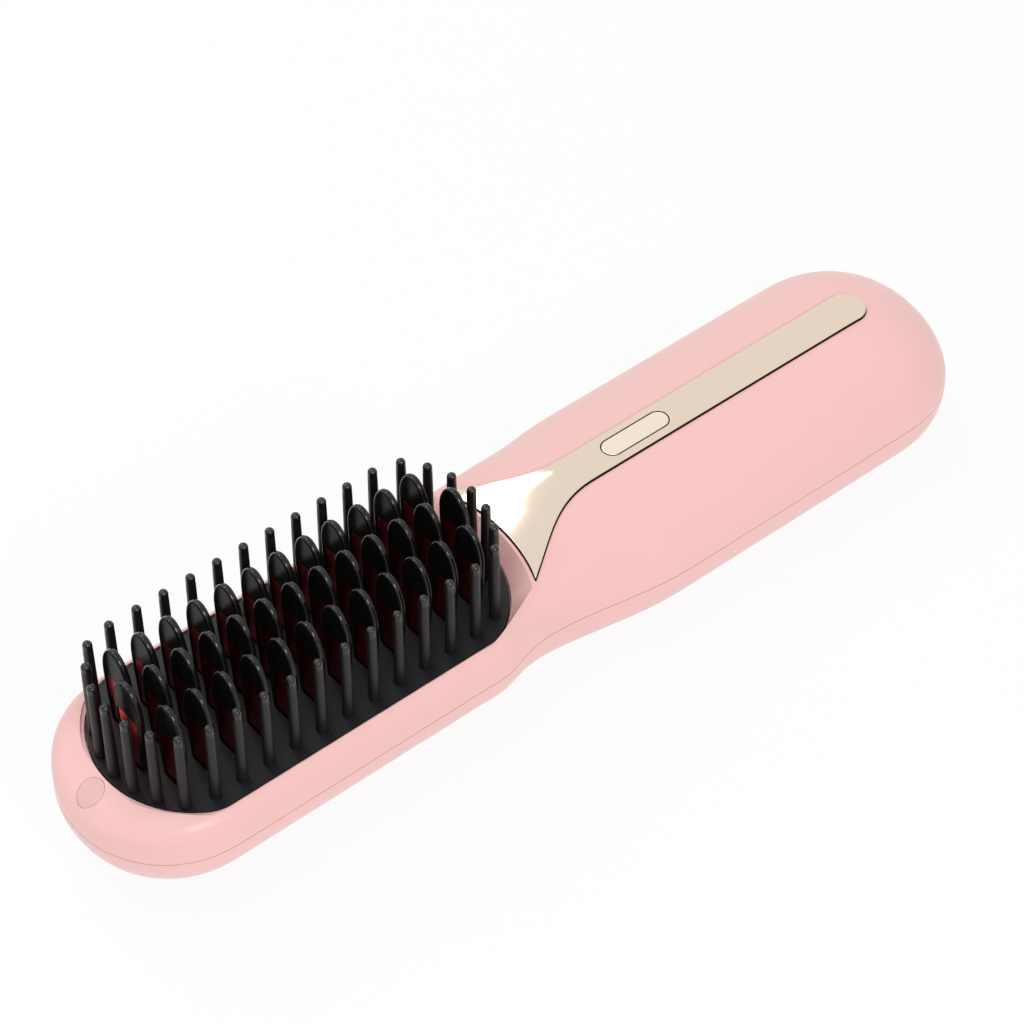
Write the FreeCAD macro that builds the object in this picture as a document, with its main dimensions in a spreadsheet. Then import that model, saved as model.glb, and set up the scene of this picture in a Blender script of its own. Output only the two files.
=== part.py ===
import FreeCAD, Part
import math
import os
import re

# Cordless hair straightening brush, lying on its back with the bristles up.
# X runs from the nose of the head to the tail of the handle, Y across, Z up from the flat of the back.
# Every length is in millimetres.

SIZES = {
    # outer form: two rounded ends, a head, a waist and a handle
    "nose_tip": -107.7,
    "tail_tip": 107.7,
    "nose_zone": 22.2,
    "tail_zone": 23.3,
    "nose_plan_power": 2.07,
    "nose_rise_power": 2.6,
    "tail_power": 2.24,
    "head_half_width": 22.5,
    "neck_half_width": 19.7,
    "handle_half_width": 23.9,
    "head_end": -22.5,
    "neck_middle": -9.4,
    "handle_start": 24.8,
    "seam_height": 15.9,
    "belly_depth": 16.3,
    "head_rise": 10.5,
    "handle_rise": 16.0,
    "rise_start": -26.6,
    "rise_end": 16.0,
    "head_top_power": 5.5,
    "handle_top_power": 2.0,
    "head_belly_power": 2.04,
    "handle_belly_power": 2.44,
    # shell, seam and the tongue that closes it
    "wall": 2.2,
    "cavity_head_rise": 4.7,
    "cavity_rise_start": -10.0,
    "cavity_rise_end": 20.0,
    "seam_gap": 0.2,
    "lip_gap": 0.2,
    "lip_wall": 0.9,
    "lip_root": 0.2,
    "lip_drop": 2.0,
    "lip_reach": 1.5,
    "beyond": 30.0,
    # comb plate and the opening it lies in
    "comb_left": -99.6,
    "comb_right": -8.9,
    "comb_half_width": 19.6,
    "comb_end_radius": 21.7,
    "comb_corner": 8.5,
    "comb_top": 24.6,
    "comb_thickness": 2.0,
    "comb_gap": 0.4,
    "ledge": 1.6,
    # sloping wall between the comb plate and the trim
    "slope_foot": 0.3,
    "slope_rise": 9.2,
    "slope_run": 0.75,
    "crest_front": -6.1,
    "crest_radius": 48.0,
    "crest_half_width": 15.6,
    "crest_end": -23.5,
    "crest_over": 0.4,
    # perimeter pins
    "pin_field": -55.0,
    "pin_pitch": 6.2,
    "pin_row": 16.0,
    "pin_arc_centre": 22.3,
    "pin_arc_radius": 20.6,
    "pin_base_radius": 1.15,
    "pin_tip_radius": 0.97,
    "pin_height": 19.4,
    "pin_gap": 0.03,
    # heating fins and their caps
    "fin_field": -54.65,
    "fin_pitch": 6.38,
    "fin_row": 8.55,
    "fin_middle_lift": 1.1,
    "leaf_half_width": 4.2,
    "leaf_foot_half_width": 3.2,
    "leaf_top": 7.3,
    "fin_height": 21.3,
    "fin_thickness": 0.9,
    "fin_root": 4.8,
    "fin_tenon_half_width": 2.1,
    "fin_gap": 0.25,
    "cap_start": 12.3,
    "cap_brow": 0.8,
    "cap_border": 0.75,
    "cap_thickness": 1.4,
    "cap_round": 0.5,
    "tongue_thickness": 0.5,
    "tongue_half_width": 1.7,
    "tongue_reach": 4.0,
    "tongue_gap": 0.08,
    # heater stack, counted down from the comb plate
    "heater_gap": 0.8,
    "heater_plate_thickness": 3.2,
    "heater_plate_inset": 4.4,
    "ceramic_thickness": 1.6,
    "ceramic_half_length": 30.0,
    "ceramic_width": 9.0,
    "ceramic_half_gap": 1.2,
    "mica_thickness": 0.6,
    "mica_inset": 4.6,
    "clamp_thickness": 1.0,
    "clamp_inset": 1.2,
    "frame_inset": 2.0,
    "frame_flange_inset": 0.9,
    "frame_bore_inset": 4.1,
    "frame_flange_height": 3.0,
    "notch_half_width": 7.0,
    "notch_height": 2.1,
    "notch_length": 9.0,
    "clamp_screw_reach": 21.7,
    "clamp_screw_row": 16.55,
    "clamp_screw_radius": 0.75,
    "clamp_head_radius": 1.5,
    "clamp_head_height": 1.1,
    "clamp_screw_cover": 0.6,
    "screw_gap": 0.05,
    "thermistor_radius": 0.8,
    "thermistor_length": 4.0,
    "fuse_radius": 1.2,
    "fuse_length": 9.0,
    "fuse_row": 6.0,
    # gold trim and the button in it
    "strip_half_width": 4.1,
    "strip_end": 91.8,
    "flare_start": 15.0,
    "flare_middle": 5.5,
    "flare_middle_half_width": 6.1,
    "flare_front": -4.0,
    "flare_front_half_width": 12.0,
    "flare_tip_half_width": 14.6,
    "flare_setback": 0.5,
    "trim_proud": 0.5,
    "trim_depth": 0.9,
    "trim_gap": 0.2,
    "trim_bed_gap": 0.05,
    "button_centre": 29.9,
    "button_half_length": 8.2,
    "button_half_width": 2.15,
    "button_gap": 0.3,
    "flange_margin": 1.0,
    "flange_thickness": 1.0,
    "button_rest_gap": 0.1,
    # cells in the handle
    "cell_start": 24.4,
    "cell_length": 65.2,
    "cell_radius": 9.2,
    "cell_row": 9.45,
    "cell_height": 12.9,
    "link_thickness": 0.3,
    "link_half_height": 2.5,
    "link_half_width": 12.0,
    "tab_half_width": 3.0,
    "cradle_margin": 1.2,
    "cradle_top": 9.0,
    "cradle_gap": 0.3,
    "cell_gap": 0.1,
    # control board and switch
    "board_start": 14.0,
    "board_end": 76.0,
    "board_half_width": 12.5,
    "board_gap": 1.4,
    "board_thickness": 1.6,
    "post_radius": 2.3,
    "post_front": 18.0,
    "post_back": 69.0,
    "post_row": 9.5,
    "board_screw_radius": 0.8,
    "board_screw_reach": 2.4,
    "board_head_radius": 1.6,
    "board_head_height": 1.1,
    "switch_half_width": 3.0,
    "switch_height": 3.3,
    "plunger_radius": 1.5,
    "plunger_gap": 0.3,
    "plunger_reach": 1.0,
    "plunger_depth": 1.8,
    "plunger_bore_depth": 2.7,
    # charging socket and its board
    "socket_front": 99.6,
    "socket_mouth": 106.9,
    "socket_half_width": 4.47,
    "socket_height": 3.2,
    "socket_wall": 0.3,
    "socket_back_wall": 0.8,
    "socket_gap": 0.3,
    "tongue_plate_half_width": 3.3,
    "tongue_plate_thickness": 0.7,
    "tongue_plate_recess": 0.7,
    "charge_start": 92.5,
    "charge_end": 101.5,
    "charge_half_width": 7.0,
    "charge_thickness": 1.0,
    "charge_post_centre": 96.5,
    "charge_post_row": 5.0,
    "charge_post_radius": 1.8,
    # case screws and the plug over the front one
    "nose_screw_centre": -103.3,
    "plug_radius": 2.7,
    "plug_gap": 0.06,
    "plug_low": 20.9,
    "nose_head_low": 19.2,
    "nose_screw_low": 9.6,
    "neck_screw_centre": 3.0,
    "neck_screw_row": 4.5,
    "neck_head_low": 26.5,
    "neck_screw_low": 9.6,
    "case_head_radius": 1.9,
    "case_head_height": 1.5,
    "case_head_gap": 0.25,
    "case_screw_radius": 0.95,
    "case_hole_radius": 1.15,
    "boss_radius": 3.2,
    "boss_gap": 0.3,
    # leads
    "heater_lead_radius": 0.7,
    "sensor_lead_radius": 0.3,
    "supply_lead_radius": 0.5,
    "lead_bend": 2.0,
    "sensor_lead_row": 0.5,
    "heater_lead_row": 5.2,
    "heater_lead_side": 9.5,
    "lead_turn_start": -7.0,
    "lead_turn_end": -1.0,
    "lead_climb_start": 7.5,
    "lead_climb_end": 14.5,
    "lead_landing": 18.5,
    "battery_lead_bend": 21.5,
    "charge_lead_row": 2.2,
    "charge_lead_height": 20.0,
    "charge_lead_drop": 93.5,
    "charge_lead_climb": 84.0,
    "charge_lead_top": 79.0,
    "charge_lead_end": 72.5,
}

SIDE_PINS = 11
END_PINS = 7
END_PIN_STEP_DEGREES = 15
OUTER_FINS = 12
MIDDLE_FINS = 13
ARCH_STEPS = 20
END_STATIONS = 12
END_CROWDING = 1.5
MIDDLE_STATIONS = 26
FIRST_STATION_DEGREES = 2
LEAF_STEPS = 12
FLARE_STEPS = 12
CREST_STEPS = 12
FLANK_STEPS = 4
END_ARC_SHARE = 0.65
HALF_SHARE = 0.5

doc = FreeCAD.newDocument("hair_straightening_brush")
sheet = doc.addObject("Spreadsheet::Sheet", "sizes")
for row, (word, value) in enumerate(SIZES.items(), 1):
    sheet.set(f"A{row}", word)
    sheet.set(f"B{row}", str(value))
    sheet.setAlias(f"B{row}", word)
doc.recompute()
size = {word: float(sheet.get(word)) for word in SIZES}

Vector = FreeCAD.Vector
TURNS = {
    "x": FreeCAD.Rotation(Vector(0, 1, 0), 90),
    "z": FreeCAD.Rotation(),
}
nodes = []


def rule(text):
    """Expression text in which each size name points at its cell."""
    return re.sub("[a-z_]+", lambda word: f"sizes.{word[0]}" if word[0] in SIZES else word[0], text)


def place(item, x="0", y="0", z="0"):
    """Bind the position of an object to size rules."""
    for axis, text in zip("xyz", (x, y, z)):
        item.setExpression(f"Placement.Base.{axis}", rule(text))
    return item


def both(half):
    """Limits that lie evenly about the middle plane."""
    return f"-({half})", half


def box(name, x, y, z):
    """Block between two limits on each axis."""
    item = doc.addObject("Part::Box", name)
    for extent, (low, high) in zip(("Length", "Width", "Height"), (x, y, z)):
        item.setExpression(extent, rule(f"({high}) - ({low})"))
    return place(item, x[0], y[0], z[0])


def rod(name, radius, x, y, z, length, axis="z"):
    """Round bar that starts at a point and runs along one axis."""
    item = doc.addObject("Part::Cylinder", name)
    item.Placement = FreeCAD.Placement(Vector(), TURNS[axis])
    item.setExpression("Radius", rule(radius))
    item.setExpression("Height", rule(length))
    return place(item, x, y, z)


def feature(name, shape):
    """Object that holds a shape made by formula from the sizes."""
    item = doc.addObject("Part::Feature", name)
    item.Shape = shape
    return item


def join(name, parts, merged=True):
    """One solid out of several; faces that run on into each other are merged or kept."""
    item = doc.addObject("Part::MultiFuse", name)
    item.Refine = merged
    item.Shapes = parts
    return item


def shared(name, parts, merged=True):
    """The space that all the parts fill."""
    item = doc.addObject("Part::MultiCommon", name)
    item.Refine = merged
    item.Shapes = parts
    return item


def cut(name, base, tools, merged=True):
    """A part with the tools taken away one after another."""
    for index, tool in enumerate(tools):
        item = doc.addObject("Part::Cut", f"{name}_{index}")
        item.Refine = merged
        item.Base = base
        item.Tool = tool
        base = item
    return base


def prism(name, wire, low, high):
    """Upright block on a plan outline between two heights."""
    outline = place(feature(f"{name}_outline", wire), z=low)
    item = doc.addObject("Part::Extrusion", name)
    item.Base = outline
    item.DirMode = "Custom"
    item.Dir = Vector(0, 0, 1)
    item.Solid = True
    item.setExpression("LengthFwd", rule(f"({high}) - ({low})"))
    return item


def slab(name, wire, start, length):
    """Block on an outline drawn across X, run along X from a start."""
    outline = place(feature(f"{name}_outline", wire), x=start)
    item = doc.addObject("Part::Extrusion", name)
    item.Base = outline
    item.DirMode = "Custom"
    item.Dir = Vector(1, 0, 0)
    item.Solid = True
    item.setExpression("LengthFwd", rule(length))
    return item


def array(name, master, spots):
    """Copies of one shape, each moved to a spot, kept as separate solids."""
    doc.recompute()
    copies = [master.Shape.translated(spot) for spot in spots]
    return feature(name, Part.makeCompound(copies))


def node(name, item):
    """Mark an object as a sub-part of the brush."""
    item.Label = name
    nodes.append(item)
    return item


def line(start, end):
    return Part.LineSegment(start, end).toShape()


def arc(start, middle, end):
    return Part.Arc(start, middle, end).toShape()


def spline(points, first, last):
    """Smooth curve through points that leaves and arrives along two directions."""
    bent = Part.BSplineCurve()
    bent.interpolate(Points=points, InitialTangent=first, FinalTangent=last)
    return bent.toShape()


def curve(points):
    """Line through two points, arc through three, smooth curve with even steps through more."""
    if len(points) == 2:
        return line(*points)
    if len(points) == 3:
        return arc(*points)
    steps = len(points) - 1
    smooth_curve = Part.BSplineCurve()
    smooth_curve.interpolate(Points=points, Parameters=[step / steps for step in range(steps + 1)])
    return smooth_curve.toShape()


def mirrored(point):
    return Vector(point.x, -point.y, point.z)


def ring(right, far, left):
    """Edges of a closed outline: right end, far side, left end and the mirror image of the far side."""
    near = [[mirrored(point) for point in reversed(points)] for points in reversed(far)]
    return [curve(points) for points in [right] + far + [left] + near]


def funnel(name, rings):
    """Solid with flat ends and a wall ruled from each edge of a ring to the same edge of the next."""
    faces = [Part.Face(Part.Wire(rings[0])), Part.Face(Part.Wire(rings[-1]))]
    for low, high in zip(rings, rings[1:]):
        faces += [Part.makeRuledSurface(*pair) for pair in zip(low, high)]
    shell = Part.makeShell(faces)
    shell.sewShape()
    return feature(name, Part.makeSolid(shell))


# Outer form of the brush and the forms that lie inside it

def smooth(share):
    """Share from 0 to 1 that starts and ends level."""
    share = min(max(share, 0), 1)
    return share * share * (3 - 2 * share)


def mix(low, high, share):
    return low + (high - low) * share


def left_over(reach_share, power):
    """Share of the full section that is left this far into a rounded end."""
    reach_share = min(max(reach_share, 0), 1)
    return (1 - reach_share ** power) ** (1 / power)


def half_width(x):
    """Half width of the full section: head, waist, handle."""
    if x < size["neck_middle"]:
        share = smooth((x - size["head_end"]) / (size["neck_middle"] - size["head_end"]))
        return mix(size["head_half_width"], size["neck_half_width"], share)
    share = smooth((x - size["neck_middle"]) / (size["handle_start"] - size["neck_middle"]))
    return mix(size["neck_half_width"], size["handle_half_width"], share)


def arch(x, half, rise, power, angles):
    """Half a section: a rounded arch on the seam plane, with the power as its fullness."""
    points = []
    for angle in angles:
        across = math.cos(angle)
        up = math.sin(angle)
        scale = (abs(across) ** power + abs(up) ** power) ** (-1 / power)
        points.append(Vector(x, half * across * scale, size["seam_height"] + rise * up * scale))
    return curve(points)


def stations(inset):
    """Places along the brush, closer in the rounded ends, with the shares of plan and rise left there."""
    nose = size["nose_tip"] + inset
    tail = size["tail_tip"] - inset
    nose_end = nose + size["nose_zone"]
    tail_start = tail - size["tail_zone"]
    first = math.radians(FIRST_STATION_DEGREES)
    shares = [(step / END_STATIONS) ** END_CROWDING for step in range(END_STATIONS)]
    turns = [mix(first, math.pi / 2, share) for share in shares]
    places = [nose_end - size["nose_zone"] * math.cos(turn) for turn in turns]
    places += [mix(nose_end, tail_start, step / MIDDLE_STATIONS) for step in range(MIDDLE_STATIONS + 1)]
    places += [tail_start + size["tail_zone"] * math.cos(turn) for turn in reversed(turns)]
    found = []
    for x in places:
        nose_reach = (nose_end - x) / size["nose_zone"]
        tail_left = left_over((x - tail_start) / size["tail_zone"], size["tail_power"])
        plan_left = left_over(nose_reach, size["nose_plan_power"]) * tail_left
        rise_left = left_over(nose_reach, size["nose_rise_power"]) * tail_left
        found.append((x, plan_left, rise_left))
    return found


def in_lengths(body):
    """The same body with its skin divided into five lengths, two of them the rounded ends."""
    head_start = size["nose_tip"] + size["nose_zone"]
    handle_end = size["tail_tip"] - size["tail_zone"]
    seams = [head_start, size["pin_field"], mix(size["handle_start"], handle_end, HALF_SHARE), handle_end]
    ends = [size["nose_tip"] - size["beyond"]] + seams + [size["tail_tip"] + size["beyond"]]
    low = Vector(0, -size["handle_half_width"] - size["beyond"], -size["beyond"])
    high = Vector(0, -low.y, size["seam_height"] + size["handle_rise"] + size["beyond"])
    lengths = []
    for start, end in zip(ends, ends[1:]):
        corner = Vector(start, low.y, low.z)
        space = Part.makeBox(end - start, high.y - low.y, high.z - low.z, corner)
        lengths.append(body.common(space))
    return lengths[0].multiFuse(lengths[1:])


def form(name, inset, head_rise, rise_start, rise_end):
    """Smooth closed body: arches above and below the seam plane, lofted from nose to tail."""
    over = [math.pi * step / ARCH_STEPS for step in range(ARCH_STEPS + 1)]
    under = [math.pi + angle for angle in over]
    sections = []
    for x, plan_left, rise_left in stations(inset):
        lift = smooth((x - rise_start) / (rise_end - rise_start))
        fullness = smooth((x - size["rise_start"]) / (size["rise_end"] - size["rise_start"]))
        half = (half_width(x) - inset) * plan_left
        rise = mix(head_rise, size["handle_rise"] - inset, lift) * rise_left
        belly = (size["belly_depth"] - inset) * plan_left
        top_power = mix(size["head_top_power"], size["handle_top_power"], fullness)
        belly_power = mix(size["head_belly_power"], size["handle_belly_power"], fullness)
        top = arch(x, half, rise, top_power, over)
        bottom = arch(x, half, belly, belly_power, under)
        sections.append(Part.Wire([top, bottom]))
    return feature(name, in_lengths(Part.makeLoft(sections, True)))


def plan_outline(inset):
    """Outline of the form at the seam, moved evenly inward."""
    far = [Vector(x, (half_width(x) - inset) * plan_left, 0) for x, plan_left, _ in stations(inset)]
    near = [mirrored(point) for point in far]
    sides = []
    for points in (far, near):
        side = Part.BSplineCurve()
        side.interpolate(Points=points)
        sides.append(side.toShape())
    return Part.Wire([sides[0], line(far[-1], near[-1]), sides[1], line(near[0], far[0])])


def crown_height(x, across):
    """Height of the outer form over a point between the rounded ends."""
    lift = smooth((x - size["rise_start"]) / (size["rise_end"] - size["rise_start"]))
    rise = mix(size["head_rise"], size["handle_rise"], lift)
    power = mix(size["head_top_power"], size["handle_top_power"], lift)
    return size["seam_height"] + rise * left_over(abs(across) / half_width(x), power)


def skin(name, inset):
    """Outer form moved evenly inward, or outward for a negative inset."""
    return form(name, inset, size["head_rise"] - inset, size["rise_start"], size["rise_end"])


def cavity(name, inset):
    """Hollow of the case: low under the comb opening, high in the handle."""
    rise = size["cavity_head_rise"] - (inset - size["wall"])
    return form(name, inset, rise, size["cavity_rise_start"], size["cavity_rise_end"])


outer = skin("outer_form", 0)
trim_crown = skin("trim_crown", -size["trim_proud"])
trim_base = skin("trim_base", size["trim_depth"])
trim_bed = skin("trim_bed", size["trim_depth"] + size["trim_bed_gap"])
hollow = cavity("hollow_form", size["wall"])
cradle_form = cavity("cradle_form", size["wall"] + size["cradle_gap"])


# Plan outlines

def rounded_end(tip, side, half, radius, corner):
    """Points of one end: where the side stops, the corner's middle, where the end arc starts, the tip."""
    centre = tip - side * radius
    corner_y = half - corner
    reach = math.sqrt((radius - corner) ** 2 - corner_y ** 2)
    out_share = radius / (radius - corner)
    turn = (math.atan2(corner_y, reach) + math.pi / 2) / 2
    corner_x = centre + side * reach
    middle = Vector(corner_x + side * corner * math.cos(turn), corner_y + corner * math.sin(turn), 0)
    arc_start = Vector(centre + side * reach * out_share, corner_y * out_share, 0)
    return Vector(corner_x, half, 0), middle, arc_start, Vector(tip, 0, 0)


def panel(left, right):
    """Closed outline from the points of two rounded ends."""
    side_left, corner_left, arc_left, tip_left = left
    side_right, corner_right, arc_right, tip_right = right
    return Part.Wire(ring(
        [mirrored(arc_right), tip_right, arc_right],
        [[arc_right, corner_right, side_right], [side_right, side_left], [side_left, corner_left, arc_left]],
        [arc_left, tip_left, mirrored(arc_left)],
    ))


def comb_ends(inset):
    """Points of the left and the right end of the comb plate, moved evenly inward."""
    half = size["comb_half_width"] - inset
    radius = size["comb_end_radius"] - inset
    corner = size["comb_corner"] - inset
    left = rounded_end(size["comb_left"] + inset, -1, half, radius, corner)
    right = rounded_end(size["comb_right"] - inset, 1, half, radius, corner)
    return left, right


def comb_outline(inset):
    """Outline of the comb plate moved evenly inward."""
    return panel(*comb_ends(inset))


def end_point(tip, radius, angle):
    """Point of an end arc, at an angle from its tip as seen from its centre."""
    return Vector(tip + radius * (math.cos(angle) - 1), radius * math.sin(angle), 0)


def slope_foot_outline():
    """Foot of the sloping wall: the comb opening with its right-hand arc in three lengths."""
    left, right = comb_ends(-size["comb_gap"])
    side_left, corner_left, arc_left, tip_left = left
    side_right, corner_right, arc_right, tip_right = right
    radius = size["comb_end_radius"] + size["comb_gap"]
    full = math.asin(arc_right.y / radius)
    split = end_point(tip_right.x, radius, full * END_ARC_SHARE)
    between = end_point(tip_right.x, radius, full * (1 + END_ARC_SHARE) / 2)
    return ring(
        [mirrored(split), tip_right, split],
        [[split, between, arc_right], [arc_right, corner_right, side_right], [side_right, side_left],
         [side_left, corner_left, arc_left]],
        [arc_left, tip_left, mirrored(arc_left)],
    )


def crest_outline(height):
    """Crest of the sloping wall at a height rule: an arc at the trim, flanks that run out along the head."""
    radius = size["crest_radius"]
    turn = math.asin(size["crest_half_width"] / radius)
    end = [end_point(size["crest_front"], radius, mix(-turn, turn, step / CREST_STEPS))
           for step in range(CREST_STEPS + 1)]
    side_left, corner_left, arc_left, tip_left = comb_ends(-size["comb_gap"] - size["slope_run"])[0]
    side_right = Vector(size["crest_end"], side_left.y, 0)
    flank_shares = [step / FLANK_STEPS / 2 for step in range(2 * FLANK_STEPS + 1)]
    flank = [end[-1] + (side_right - end[-1]) * share for share in flank_shares]
    plan = [
        end,
        flank[:FLANK_STEPS + 1],
        flank[FLANK_STEPS:],
        [side_right, side_left],
        [side_left, corner_left, arc_left],
        [arc_left, tip_left, mirrored(arc_left)],
    ]
    level = height(side_right.x, side_right.y)
    for points in plan[:3]:
        points[:] = [Vector(point.x, point.y, height(point.x, point.y)) for point in points]
    for points in plan[3:]:
        points[:] = [Vector(point.x, point.y, level) for point in points]
    return ring(plan[0], plan[1:-1], plan[-1])


def capsule(centre, along, across):
    """Straight-sided outline with round ends; along reaches to the centre of each round end."""
    out = Vector(along).normalize() * across.Length
    return Part.Wire([
        line(centre - along - across, centre + along - across),
        arc(centre + along - across, centre + along + out, centre + along + across),
        line(centre + along + across, centre - along + across),
        arc(centre - along + across, centre - along - out, centre - along - across),
    ])


def button_outline(margin):
    """Outline of the button, made wider all round by a margin."""
    straight = size["button_half_length"] - size["button_half_width"]
    across = Vector(0, size["button_half_width"] + margin, 0)
    return capsule(Vector(size["button_centre"], 0, 0), Vector(straight, 0, 0), across)


def socket_outline(margin):
    """Mouth of the charging socket, made wider all round by a margin."""
    half_height = size["socket_height"] / 2
    straight = Vector(0, size["socket_half_width"] - half_height, 0)
    across = Vector(0, 0, half_height + margin)
    return capsule(Vector(0, 0, size["seam_height"]), straight, across)


def flare_side(tip, gap):
    """Points of the far side of the flare, from the strip to a tip, moved outward by a gap."""
    knots = [
        Vector(size["flare_start"], size["strip_half_width"], 0),
        Vector(size["flare_middle"], size["flare_middle_half_width"], 0),
        Vector(size["flare_front"], size["flare_front_half_width"], 0),
        tip,
    ]
    edge = spline(knots, Vector(-1, 0, 0), (knots[3] - knots[2]).normalize())
    points = []
    for step in range(FLARE_STEPS + 1):
        place_on_edge = mix(*edge.ParameterRange, step / FLARE_STEPS)
        heading = edge.tangentAt(place_on_edge)
        points.append(edge.valueAt(place_on_edge) + Vector(heading.y, -heading.x, 0) * gap)
    return points, heading


def trim_outline(gap):
    """Strip with a round end that flares out to two points along the crest, made wider by a gap."""
    front = size["crest_front"] + size["flare_setback"]
    turn = math.asin(size["flare_tip_half_width"] / size["crest_radius"])
    tip = end_point(front, size["crest_radius"], turn)
    far, heading = flare_side(tip, gap)
    inward = Vector(-math.cos(turn), -math.sin(turn), 0)
    front_end = tip + inward * gap
    end = Vector(size["strip_end"] - size["strip_half_width"], size["strip_half_width"] + gap, 0)
    sides = [[end, far[0]], far]
    if gap:
        outward = Vector(heading.y, -heading.x, 0)
        sides.append([far[-1], tip + (outward + inward).normalize() * gap, front_end])
    return Part.Wire(ring(
        [mirrored(end), Vector(size["strip_end"] + gap, 0, 0), end],
        sides,
        [front_end, Vector(front - gap, 0, 0), mirrored(front_end)],
    ))


# Heights counted through the stack

COMB_FLOOR = "comb_top - comb_thickness"
HEATER_TOP = f"{COMB_FLOOR} - heater_gap"
HEATER_LOW = f"{HEATER_TOP} - heater_plate_thickness"
CERAMIC_LOW = f"{HEATER_LOW} - ceramic_thickness"
MICA_LOW = f"{CERAMIC_LOW} - mica_thickness"
CLAMP_LOW = f"{MICA_LOW} - clamp_thickness"
FRAME_STEP = f"{MICA_LOW} + frame_flange_height"
BOARD_LOW = "cell_height + cell_radius + board_gap"
BOARD_TOP = f"{BOARD_LOW} + board_thickness"
SWITCH_TOP = f"{BOARD_TOP} + switch_height"
PLUNGER_TOP = f"{SWITCH_TOP} + plunger_reach"
FLANGE_LOW = f"{PLUNGER_TOP} + button_rest_gap"
CHARGE_TOP = "seam_height - socket_height / 2"
CHARGE_LOW = f"{CHARGE_TOP} - charge_thickness"
TOP_EDGE = "seam_height + seam_gap / 2"
BOTTOM_EDGE = "seam_height - seam_gap / 2"
ABOVE = "seam_height + beyond"
BELOW = "-beyond"
ALL_LONG = ("nose_tip - beyond", "tail_tip + beyond")
ALL_WIDE = both("handle_half_width + beyond")
CELL_END = "cell_start + cell_length"

# Screw spots of the case

nose_spot = ("nose_screw_centre", "0")
neck_spots = [("neck_screw_centre", "neck_screw_row"), ("neck_screw_centre", "-neck_screw_row")]
case_spots = [nose_spot] + neck_spots
case_heads = ["nose_head_low", "neck_head_low", "neck_head_low"]
case_lows = ["nose_screw_low", "neck_screw_low", "neck_screw_low"]
post_spots = [("post_front", "post_row"), ("post_front", "-post_row"), ("post_back", "0")]


def column(name, radius, spot, low, high):
    """Upright round bar at a spot between two heights."""
    return rod(name, radius, spot[0], spot[1], low, f"({high}) - ({low})")


socket_hole = slab("socket_hole", socket_outline(size["socket_gap"]), "charge_end", "beyond")

# Comb opening: straight sided round the plate, then a wall that leans out

pocket = prism("comb_pocket", comb_outline(-size["comb_gap"]), COMB_FLOOR, "comb_top + slope_foot")
opening = prism("comb_opening", comb_outline(size["ledge"]), BELOW, ABOVE)
slope_foot = slope_foot_outline()
for edge in slope_foot:
    edge.translate(Vector(0, 0, size["comb_top"] + size["slope_foot"]))
slope_crest = crest_outline(lambda x, across: crown_height(x, across) + size["crest_over"])
slope_end = crest_outline(lambda x, across: size["comb_top"] + size["slope_rise"])
slope = funnel("slope_cut", [slope_foot, slope_crest, slope_end])

# Top casing

upper_space = box("upper_space", ALL_LONG, ALL_WIDE, (TOP_EDGE, ABOVE))
upper_half = shared("upper_half", [outer, upper_space])
upper_shell = cut("upper_shell", upper_half, [hollow])
top_bars = [column(f"top_boss_{index}", "boss_radius", spot, TOP_EDGE, ABOVE)
            for index, spot in enumerate(case_spots)]
top_bars += [column(f"board_post_{index}", "post_radius", spot, BOARD_TOP, ABOVE)
             for index, spot in enumerate(post_spots)]
top_bosses = shared("top_bosses", [join("top_bars", top_bars), trim_bed])
trim_block = prism("trim_recess_block", trim_outline(size["trim_gap"]), "seam_height", ABOVE)
trim_recess = cut("trim_recess", trim_block, [trim_bed])
button_room = size["flange_margin"] + size["button_gap"]
button_way = prism("button_way", button_outline(button_room), BOARD_TOP, ABOVE)
plug_way = column("plug_way", "plug_radius + plug_gap", nose_spot, "nose_head_low", ABOVE)
head_ways = [column(f"head_way_{index}", "case_head_radius + case_head_gap", spot, "neck_head_low", ABOVE)
             for index, spot in enumerate(neck_spots)]
screw_ways = [column(f"screw_way_{index}", "case_hole_radius", spot, "0", head)
              for index, (spot, head) in enumerate(zip(case_spots, case_heads))]
post_ways = [column(f"post_way_{index}", "board_screw_radius + screw_gap", spot, BOARD_LOW,
                    f"{BOARD_TOP} + board_screw_reach + screw_gap")
             for index, spot in enumerate(post_spots)]
top_body = join("top_body", [upper_shell, top_bosses])
top_cuts = [pocket, opening, slope, trim_recess, button_way, plug_way, socket_hole]
node("top_casing", cut("top_casing_cut", top_body, top_cuts + head_ways + screw_ways + post_ways))

# Bottom casing

lower_space = box("lower_space", ALL_LONG, ALL_WIDE, ("0", BOTTOM_EDGE))
lower_half = shared("lower_half", [outer, lower_space], merged=False)
lower_shell = cut("lower_shell", lower_half, [hollow], merged=False)
lip_outer = size["wall"] + size["lip_gap"]
lip_foot = prism("lip_foot", plan_outline(size["wall"] - size["lip_root"]),
                 "seam_height - lip_drop", BOTTOM_EDGE)
lip_tongue = prism("lip_tongue", plan_outline(lip_outer), BOTTOM_EDGE, "seam_height + lip_reach")
lip_bore = prism("lip_bore", plan_outline(lip_outer + size["lip_wall"]), BELOW, ABOVE)
lip_clear = box("lip_clear", ("nose_tip - beyond", "nose_screw_centre + boss_radius + boss_gap"),
                both("boss_radius + boss_gap"), (BOTTOM_EDGE, ABOVE))
lip_foot_ring = cut("lip_foot_ring", lip_foot, [lip_bore])
lip_tongue_ring = cut("lip_tongue_ring", lip_tongue, [lip_bore, lip_clear])
lip = join("lip", [lip_foot_ring, lip_tongue_ring])
bottom_bars = [column(f"bottom_boss_{index}", "boss_radius", spot, "0", BOTTOM_EDGE)
               for index, spot in enumerate(case_spots)]
charge_spots = [("charge_post_centre", "charge_post_row"), ("charge_post_centre", "-charge_post_row")]
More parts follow.
